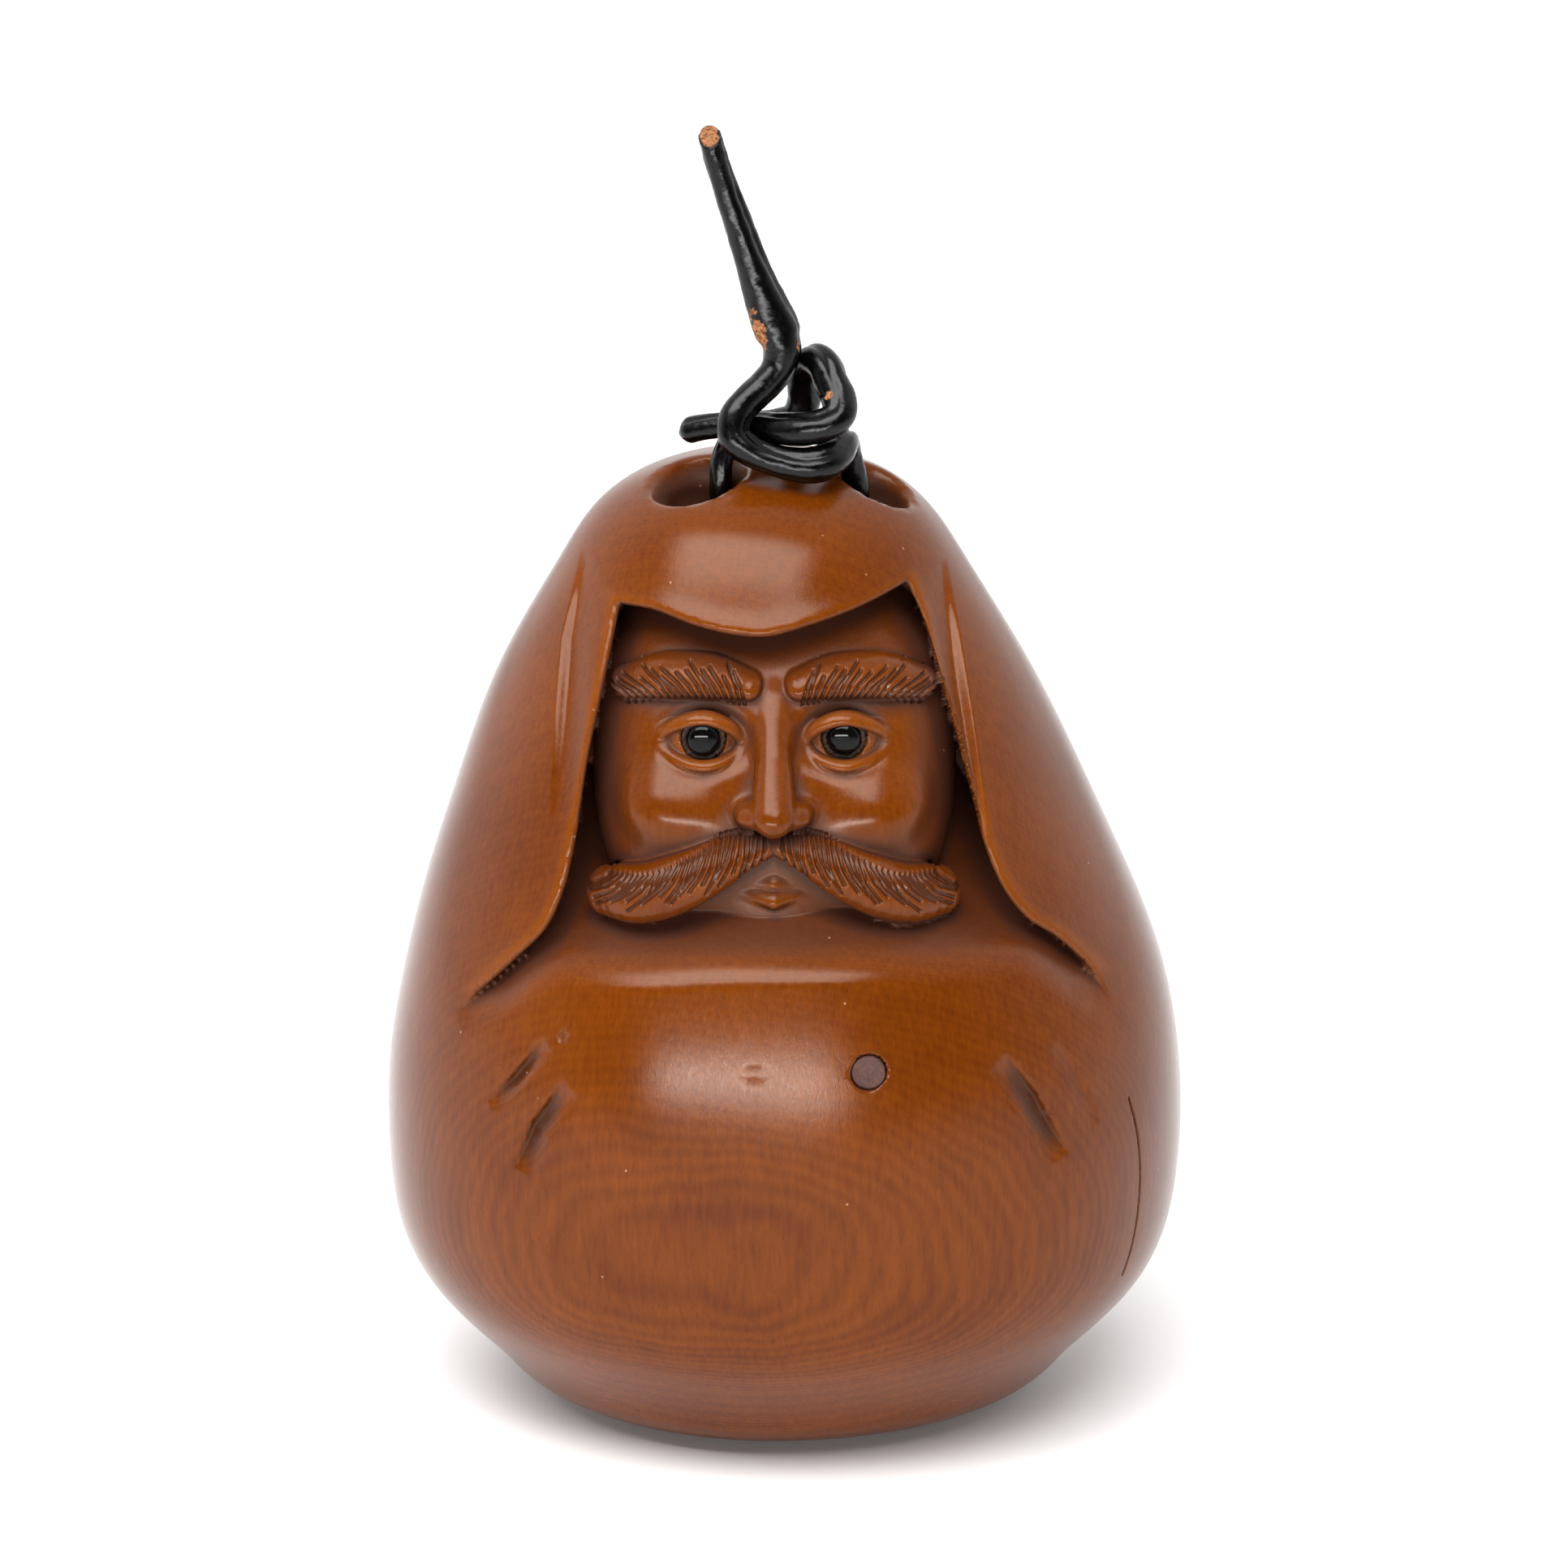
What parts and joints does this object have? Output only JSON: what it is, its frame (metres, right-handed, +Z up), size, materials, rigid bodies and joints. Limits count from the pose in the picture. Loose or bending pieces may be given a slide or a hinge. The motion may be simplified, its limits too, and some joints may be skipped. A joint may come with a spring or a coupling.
{
  "type": "daruma doll",
  "caption": "Small carved wooden daruma, a pear-shaped seated figure in a hooded robe with inlaid pupils, flat-based, with a knotted leather cord through its crown.",
  "frame": {"origin": "on the ground under the middle of the body's box, measured without the cord", "axes": "+Z up, the face looks along -Y, +X to the right when the face is seen from the front"},
  "size_m": [0.0484, 0.0446, 0.0788],
  "materials": {
    "boxwood": "waxed and polished, dark stain in the carving",
    "horn": "polished black horn",
    "lacquer": "rough dark lacquer paste",
    "dowel_wood": "worn end grain",
    "leather": "black dyed round cord, worn in places"
  },
  "bodies": {
    "body": {"carved_body": "boxwood", "left_pupil": "horn", "right_pupil": "horn", "left_pupil_bed": "lacquer", "right_pupil_bed": "lacquer", "belly_plug": "dowel_wood"},
    "cord": {"cord": "leather"}
  },
  "joints": [
    {"name": "cord_rock", "type": "hinge", "parent": "body", "child": "cord", "pos_m": [0, -0.0018, 0.0535], "axis": [1, 0, 0], "range_deg": [-8, 8]}
  ]
}
